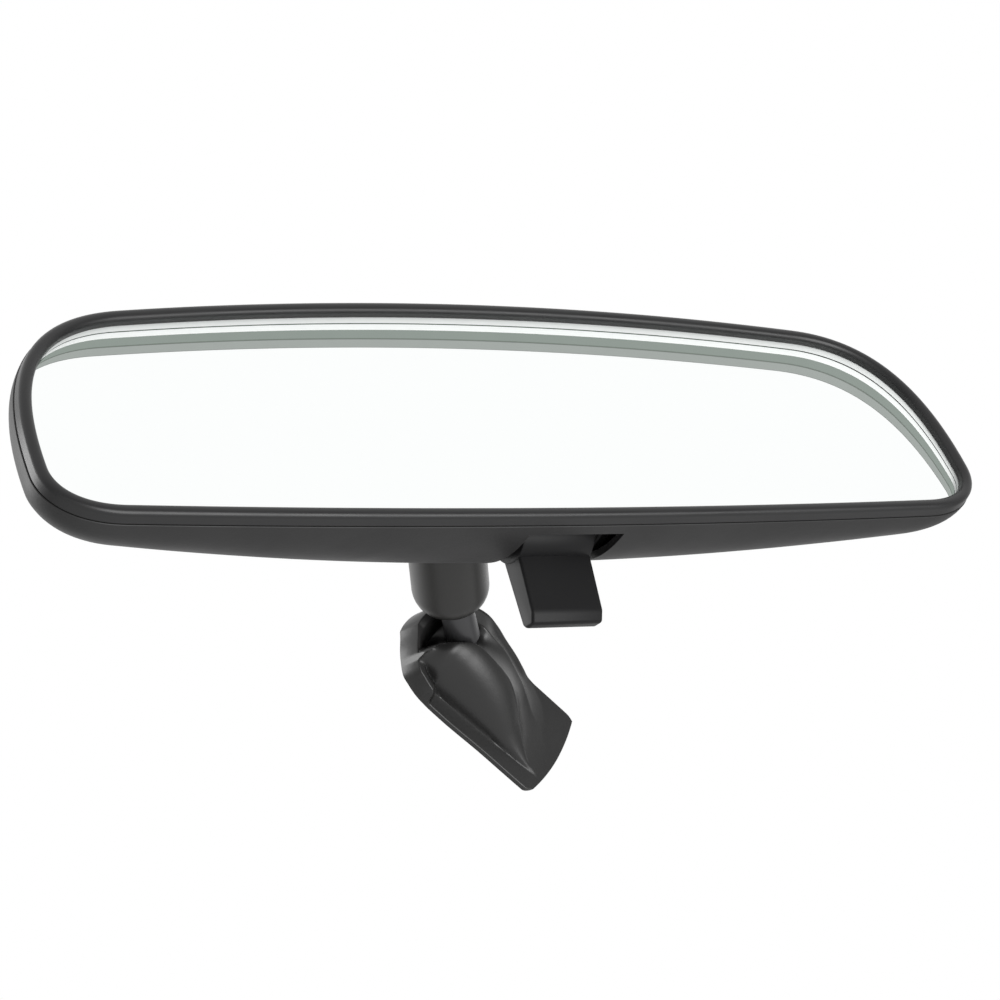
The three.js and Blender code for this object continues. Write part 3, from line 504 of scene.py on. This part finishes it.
# ---- Lever ----
REACH, LEAN = 21.8, math.radians(18)
TAPER = {-1: 0.07, 1: -0.03}
THICK_ROOT, THICK_TIP, ROOT_TOP = 7, 5.2, 2.0
FRONT = -0.36 * THICK_ROOT
TIP_BACK = FRONT + THICK_TIP
side_view = [
    (FRONT - 0.8, ROOT_TOP),
    (FRONT - 0.8, -0.5),
    (FRONT, -5.4),
    (FRONT, -REACH + 2.6),
    (FRONT + 1.2, -REACH),
    (TIP_BACK - 1, -REACH),
    (TIP_BACK, -REACH + 1),
    (FRONT + THICK_ROOT, 0.0),
    (FRONT + THICK_ROOT - 0.4, ROOT_TOP),
]
verts = []
for side in (-1, 1):
    for y, z in side_view:
        narrow = 1 + TAPER[side] * min(z, 0) / REACH
        turned_y = y * math.cos(LEAN) - z * math.sin(LEAN)
        turned_z = y * math.sin(LEAN) + z * math.cos(LEAN)
        x = TOGGLE_X + side * (LEVER_WIDE / 2) * narrow
        verts.append(head(x, TOGGLE_Y + turned_y, TOGGLE_Z + turned_z))
n = len(side_view)
faces = [tuple(range(n)), tuple(range(n, 2 * n))[::-1]]
faces += [(i, i + n, (i + 1) % n + n, (i + 1) % n) for i in range(n)]
tab = mesh_object("lever_tab", verts, faces, [LEVER], 30)
rounding = tab.modifiers.new("round", "BEVEL")
rounding.width = 0.75 * MM
rounding.segments = 5
rounding.limit_method = "ANGLE"
rounding.angle_limit = math.radians(20)
baked(tab)
smooth(tab, 50)
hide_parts("toggle_lever")
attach(tab, "toggle")

half = LEVER_WIDE / 2
HUB, PIN_BORE, HUB_ROUND = DRUM - 2.4, 1.9, 0.5
end = [(PIN_BORE, half - 0.3), (PIN_BORE + 0.3, half), (HUB - HUB_ROUND, half)]
end += [(HUB - 0.15, half - 0.15), (HUB, half - HUB_ROUND)]
drum_profile = [(r, -along) for r, along in end] + end[::-1] + [(end[0][0], -end[0][1])]
at_pin = frame_at(head(TOGGLE_X, TOGGLE_Y, TOGGLE_Z), unit(1, 0, 0))
drum = turned("lever_drum", drum_profile, [LEVER], at_pin)
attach(drum, "toggle")

# ---- Arm ----
ARM = unit(0.442, 0.881, -0.172)
BALL, SPACING = 6.4, 26.6
mirror_ball = head(0, BALL_Y, BALL_Z)
foot_ball = mirror_ball + ARM * SPACING * MM
at_foot_ball = frame_at(foot_ball, ARM)
TUBE_R, BORE = 9.3, 8.4


def crimp(sign, centre, reach, radius):
    shape = [
        (radius, reach - 0.9), (radius, reach - 0.15), (radius + 0.15, reach),
        (radius + 0.45, reach + 0.02), (radius + 1.1, reach - 0.18),
        (radius + 1.75, reach - 0.62), (TUBE_R - 1.05, reach - 1.45),
        (TUBE_R - 0.6, reach - 2.2), (TUBE_R - 0.28, reach - 3.1), (TUBE_R - 0.08, reach - 4.0),
        (TUBE_R, reach - 4.9), (TUBE_R, reach - 6),
    ]
    return [(r, centre + sign * y) for r, y in shape]


tube_profile = crimp(1, 0, 4.99, 5.7) + crimp(-1, -SPACING, 4.6, 6.75)[::-1]
tube_profile += [(BORE - 0.4, -SPACING - 2.3), (BORE, -SPACING - 0.4), (BORE, 0.8)]
tube_profile += [(BORE - 0.4, 2.7), tube_profile[0]]
tube = turned("arm_tube_skin", tube_profile, [TUBE], at_foot_ball, 128)
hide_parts("arm_tube")
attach(tube, "arm")

# ---- Foot, in its own frame: a from the flared end, v across, h above the plate ----
UPWARD = unit(0.12, -0.919, -0.375)
LENGTH = Vector((0.776, 0.322, -0.542))
LENGTH = (LENGTH - UPWARD * LENGTH.dot(UPWARD)).normalized()
ACROSS = UPWARD.cross(LENGTH)
FOOT_A, FOOT_V, FOOT_H = 53.8, 4.5, 19.7
LONG, WIDE, ROUND_END, THICK = 50.0, 13.0, 12.5, 1.5


def foot(a, v, h):
    return foot_ball + (LENGTH * (FOOT_A - a) + ACROSS * (v - FOOT_V) + UPWARD * (h - FOOT_H)) * MM


NECK_LEAN = math.radians(39)
NECK = (LENGTH * math.cos(NECK_LEAN) - UPWARD * math.sin(NECK_LEAN)).normalized()
NECK_MEETS = 35.3
ball_profile = []
for i in range(33):
    angle = math.radians(180 - (180 - NECK_MEETS) * i / 32)
    ball_profile.append((BALL * math.sin(angle), BALL * math.cos(angle)))
ball_profile += [(3.72, 5.6), (3.85, 7.4), (4.02, 8.9), (4.1, 9.8), (4.1, 19.0)]
ball_profile += [(3.0, 19.1), (3.0, 26.0), (0.0, 26.0)]
stud = turned("foot_stud_skin", ball_profile, [STUD], frame_at(foot_ball, NECK))
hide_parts("foot_ball_stud")
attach(stud, "mount")

PLATE_Y, PLATE_HALF, SEAT_GAP = 22, 2.4, 0.3
flange = -(BALL_Y - PLATE_Y - PLATE_HALF - SEAT_GAP)
stud_profile = []
for angle in (math.radians(degree) for degree in range(0, 151, 5)):
    stud_profile.append((BALL * math.sin(angle), BALL * math.cos(angle)))
stud_profile += [(3.3, -6.4), (3.2, -8.0), (3.3, -10.6), (3.9, flange + 2.1), (7.1, flange + 2)]
stud_profile += [(7.5, flange + 1.6), (7.5, flange + 0.3), (7.2, flange), (3, flange)]
stud_profile += [(3, flange - 9.4), (0, flange - 9.4)]
mirror_stud = turned("mirror_stud_skin", stud_profile, [STUD], frame_at(mirror_ball, unit(0, 1, 0)))
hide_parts("mirror_ball_stud")
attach(mirror_stud, "bracket")


# A smooth curve through (distance, value) pairs.
def along(a, table):
    at, value = np.array(table, float).T
    slope = np.gradient(value, at)
    k = np.clip(np.searchsorted(at, a) - 1, 0, len(at) - 2)
    width = at[k + 1] - at[k]
    t = np.clip((a - at[k]) / width, 0, 1)
    start = value[k] * (1 + 2 * t) * (1 - t) ** 2 + slope[k] * width * t * (1 - t) ** 2
    return start + value[k + 1] * t * t * (3 - 2 * t) - slope[k + 1] * width * t * t * (1 - t)


def ease(low_edge, high_edge, value):
    t = np.clip((value - low_edge) / (high_edge - low_edge), 0, 1)
    return t * t * (3 - 2 * t)


# By distance from the flared end: where the tongue's sharp edge runs and how high it stands,
# where the wall's crest runs and how high it stands, and the wall's height at the foot's side.
EDGE = [
    (-3, -8.1), (3, -7.6), (5.7, -6.6), (7.5, -5.5), (10, -3.7), (13, -1.9), (17, 0.0), (20.5, 1.3),
    (24.3, 2.2), (28, 2.5), (32, 2.5), (36.9, 2.1), (39.5, 1.0), (41.6, -0.6), (43.6, -1.9),
    (45.2, -3.6), (46.2, -6), (50, -8),
]
TONGUE = [
    (0, 0), (3, 0.15), (6, 0.8), (9.5, 2.1), (13, 3.9), (16, 5.8), (19.3, 7.7), (23, 9.4),
    (27, 10.7), (31, 11.6), (35, 12.1), (39, 12.2), (42, 11.6), (44.5, 9.5), (50, 8),
]
CREST_V = [
    (0, 4), (4.9, 4), (8.3, 4.5), (10.4, 5.3), (12.5, 6.8), (14.8, 8), (19.9, 8.6), (27, 8.9),
    (33, 8.6), (40, 8.4), (50, 8),
]
CREST_H = [
    (0, 0), (6, 0), (8.3, 0.5), (10.4, 1.1), (14.8, 2.7), (19.9, 5.2), (27, 8.2), (32, 9.6),
    (36, 10.2), (40, 9.2), (44, 7), (50, 5.5),
]
SIDE_H = [
    (0, 0), (12, 0), (14, 0.4), (17, 1.9), (20.8, 3.8), (27.2, 6.3), (32, 8.3), (36, 9.2),
    (40, 8.2), (44, 6.5), (50, 5.5),
]
# Where the ridge's outer flank meets the plate, how wide the collar is on that side, and how
# deep the pocket between tongue and wall falls beside the collar.
FLANK_FOOT = -8.2
LEFT_RIM = [(36, 12), (42, 11.8), (45, 11), (50, 10)]
POCKET = [(0, 0), (30, 0), (34, 1.2), (38, 5.4), (41, 7.5), (50, 8)]
WALL_FOOT = 12.6
COLLAR_START = LONG - ROUND_END


def foot_height(a, v):
    edge = along(a, EDGE)
    tongue = along(a, TONGUE)
    crest_v, crest_h, side_h = along(a, CREST_V), along(a, CREST_H), along(a, SIDE_H)
    base = FLANK_FOOT
    span = np.maximum(edge - base, 0.05)
    flank = np.clip((edge - v) / span, 0, 1)
    ridge = np.where(v <= edge, tongue * np.sqrt(np.clip(1 - flank ** 2.2, 0, 1)), 0)
    ridge = np.where(v < base, 0, ridge)
    start = np.maximum(tongue - 0.9 * ease(3, 10, a) - along(a, POCKET), 0)
    to_crest = np.clip((v - edge) / np.maximum(crest_v - edge, 0.3), 0, 1)
    sag = 4 * to_crest * (1 - to_crest) * (0.9 * ease(6, 16, a) + 2.4 * ease(34, 40, a))
    band = start + (crest_h - start) * to_crest ** 1.1 - sag
    to_side = np.clip((v - crest_v) / np.maximum(WALL_FOOT - crest_v, 0.3), 0, 1)
    hollow = np.sin(np.pi * to_side) * ease(9, 20, a) * (1 - ease(30, 36, a))
    outside = crest_h + (side_h - crest_h) * to_side - hollow
    right = np.where(v <= crest_v, band, outside)
    height = np.where(v <= edge, ridge, np.maximum(right, 0))
    valley = 0.35 * np.exp(-((v - base) / 0.5) ** 2) * ease(1, 6, a) * (1 - ease(40, 44, a))
    height = height - np.where(height < 1.5, valley, 0)
    into = np.maximum(a - COLLAR_START, 0) * (WIDE / ROUND_END)
    reach = np.hypot(into, v * np.where(v < 0, WIDE / along(a, LEFT_RIM), 1))
    turn = np.arctan2(v, np.maximum(into, 1e-6)) / (math.pi / 2)
    top = np.where(turn > 0, 5.7 + 3.6 * turn, 5.7 + 0.9 * turn)
    collar = top * ease(5.2, 11.6, reach) * ease(COLLAR_START - 2.2, COLLAR_START + 1.2, a)
    collar = np.where(v > 4, collar * ease(38, 44, a), collar)
    return np.maximum(height, collar)


ROWS, COLUMNS = 190, 132
bend = int(ROWS * 0.72)
rows_a = []
for i in range(ROWS + 1):
    if i <= bend:
        rows_a.append(COLLAR_START * i / bend)
    else:
        turn = (i - bend) / (ROWS - bend) * math.pi / 2
        rows_a.append(COLLAR_START + (ROUND_END - 0.05) * math.sin(turn))
A = np.array(rows_a)
FLARE = np.clip(1 - A / 14, 0, 1)
# Half of the foot's width on its ridge side.
LEFT = [
    (0, 12.5), (4.5, 12.4), (16.7, 12.1), (31, 12.1), (36, 11.8), (39.5, 11.2), (42, 10.3),
    (44.4, 9.1), (45.9, 7.3), (47.6, 4.7), (49.2, 1.5), (50, 0.2),
]
into = np.clip((A - COLLAR_START) / ROUND_END, 0, 1)
HALF_W = WIDE * np.sqrt(np.maximum(1 - into * into, 0.0004))
corner_cut = np.clip((2.2 - A) / 2.2, 0, 1)
S = np.linspace(-1, 1, COLUMNS + 1)
AA = np.repeat(A[:, None], COLUMNS + 1, 1)
left_half = along(A, LEFT) * (1 - 0.12 * corner_cut ** 1.6)
right_half = HALF_W * (1 - 0.05 * corner_cut ** 2 - 0.03 * FLARE)
VV = S[None, :] * np.where(S[None, :] < 0, left_half[:, None], right_half[:, None])
HH = foot_height(AA, VV)
AA = AA - FLARE[:, None] * (2.7 + 1.2 * S[None, :] - 1.5 * S[None, :] ** 2)
for _ in range(2):
    soft = HH.copy()
    soft[1:-1, 1:-1] = (4 * HH[1:-1, 1:-1] + HH[:-2, 1:-1] + HH[2:, 1:-1] + HH[1:-1, :-2] + HH[1:-1, 2:]) / 8
    HH = soft

verts, faces = [], []
for i in range(ROWS + 1):
    for j in range(COLUMNS + 1):
        verts.append(foot(AA[i, j], VV[i, j], HH[i, j]))
faces += grid_faces(ROWS + 1, COLUMNS + 1, looped_columns=False)
edge_loop = [(0, j) for j in range(COLUMNS + 1)]
edge_loop += [(i, COLUMNS) for i in range(1, ROWS + 1)]
edge_loop += [(ROWS, j) for j in range(COLUMNS - 1, -1, -1)]
edge_loop += [(i, 0) for i in range(ROWS - 1, 0, -1)]
loop_ids = [i * (COLUMNS + 1) + j for i, j in edge_loop]
previous = loop_ids
SPINE_ENDS = (12, 37)


# From the foot's middle line to a point of its outline, and how long that is.
def from_spine(a, v):
    toward = np.array([a - min(max(a, SPINE_ENDS[0]), SPINE_ENDS[1]), v])
    return toward, np.linalg.norm(toward)


for spill, drop in ((0.18, -0.08), (0.3, -0.3), (0.3, None)):
    current = []
    for i, j in edge_loop:
        a, v, h = AA[i, j], VV[i, j], HH[i, j]
        toward, size = from_spine(a, v)
        push = toward / size * spill if size else toward
        level = h + drop if drop is not None else -THICK
        current.append(len(verts))
        verts.append(foot(a + push[0], v + push[1], level))
    n = len(current)
    for k in range(n):
        after = (k + 1) % n
        faces.append((previous[k], previous[after], current[after], current[k]))
    previous = current
faces.append(tuple(previous))
base = mesh_object("foot_casting", verts, faces, [CASTING], 32)
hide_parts("mount_base")
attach(base, "mount")

# The pad under the foot, a little inside its outline.
PAD_INSET, PAD_TOP, PAD_THICK = 1.2, -1.8, 0.8
pad_rows = []
PAD_LAYERS = (
    (PAD_INSET + 0.25, PAD_TOP),
    (PAD_INSET, PAD_TOP - 0.2),
    (PAD_INSET, PAD_TOP - PAD_THICK),
)
for inset, level in PAD_LAYERS:
    row = []
    for i, j in edge_loop:
        a, v = AA[i, j], VV[i, j]
        toward, size = from_spine(a, v)
        pull = toward / max(size, 0.01) * inset
        row.append(foot(a - pull[0], v - pull[1], level))
    pad_rows.append(row)
count = len(edge_loop)
verts = [p for row in pad_rows for p in row]
faces = grid_faces(len(pad_rows), count)
faces.append(tuple(range(count)))
faces.append(tuple(range(len(verts) - count, len(verts)))[::-1])
pad = mesh_object("bonding_sheet", verts, faces, [BOND], 30)
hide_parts("bonding_pad")
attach(pad, "mount")

# ---- CAD pieces that show as they are ----
FINISHES = {
    "silver_backing": SILVER, "backing_pad": FOAM, "pivot_bracket": NYLON,
    "mirror_ball_liner": NYLON, "foot_ball_liner": NYLON, "mirror_seat_cup": NYLON, "foot_seat_cup": NYLON,
    "hinge_pin_left": STEEL, "hinge_pin_right": STEEL, "toggle_pin": STEEL, "stud_washer": STEEL,
    "stud_nut": STEEL, "detent_spring": SPRING, "arm_spring": SPRING,
}
for name, mat in FINISHES.items():
    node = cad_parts[name]
    node.data.materials.clear()
    node.data.materials.append(mat)

# ---- Stage ----
world = bpy.data.worlds.new("studio")
bpy.context.scene.world = world
world.use_nodes = True
sky = world.node_tree.nodes
links = world.node_tree.links
backdrop = sky["Background"]
direction = sky.new("ShaderNodeTexCoord")
parts = sky.new("ShaderNodeSeparateXYZ")
fade = sky.new("ShaderNodeMapRange")
fade.inputs["From Min"].default_value = -0.5
fade.inputs["From Max"].default_value = 0.3
fade.inputs["To Min"].default_value = 0.1
fade.inputs["To Max"].default_value = 1.0
links.new(direction.outputs["Generated"], parts.inputs["Vector"])
links.new(parts.outputs["Z"], fade.inputs["Value"])
links.new(fade.outputs["Result"], backdrop.inputs["Strength"])
backdrop.inputs["Color"].default_value = (1, 1, 1, 1)

floor_mat, _, _, _ = principled("floor_paper", (0.75, 0.75, 0.75), 0.8)
span = 3.0
floor_z = HEAD.z - 1.6
corners = [(x, y, floor_z) for x, y in ((-span, -span), (span, -span), (span, span), (-span, span))]
floor = mesh_object("floor", corners, [(0, 1, 2, 3)], [floor_mat])


def softbox(name, location, target, size, power):
    light = bpy.data.lights.new(name, "AREA")
    light.shape = "DISK"
    light.size = size
    light.energy = power
    obj = bpy.data.objects.new(name, light)
    obj.location = location
    obj.rotation_euler = (target - location).to_track_quat("-Z", "Y").to_euler()
    bpy.context.scene.collection.objects.link(obj)


lit = head(0, 30, 0)
softbox("key_front", lit + Vector((0.3, -0.64, -0.7)) * 1.3, lit, 0.8, 10)
softbox("fill_left", lit + Vector((-0.62, 0.6, 0.42)) * 1.5, lit, 0.8, 8)
bpy.context.scene.view_settings.view_transform = "Standard"

# ---- Camera: from below and to the left of the glass ----
yaw, pitch, roll = (math.radians(v) for v in (-40.337, -31.588, -24.325))
back = Vector((math.sin(yaw) * math.cos(pitch), -math.cos(yaw) * math.cos(pitch), math.sin(pitch)))
level = Vector((math.cos(yaw), math.sin(yaw), 0))
lift = back.cross(level)
right = level * math.cos(roll) + lift * math.sin(roll)
up = -level * math.sin(roll) + lift * math.cos(roll)
DISTANCE, SIDE, DROP = 736.0, 4.801, 19.403
OFFSET = Vector((0.1, 0, 0))
spot = back * DISTANCE - right * SIDE - up * DROP - OFFSET
camera = bpy.data.cameras.new("camera")
camera.lens = 118.8
camera.sensor_width = 36
camera.clip_start = 0.01
view = bpy.data.objects.new("camera", camera)
view.matrix_world = Matrix.Translation(HEAD + spot * MM) @ Matrix((right, up, back)).transposed().to_4x4()
bpy.context.scene.collection.objects.link(view)
bpy.context.scene.camera = view
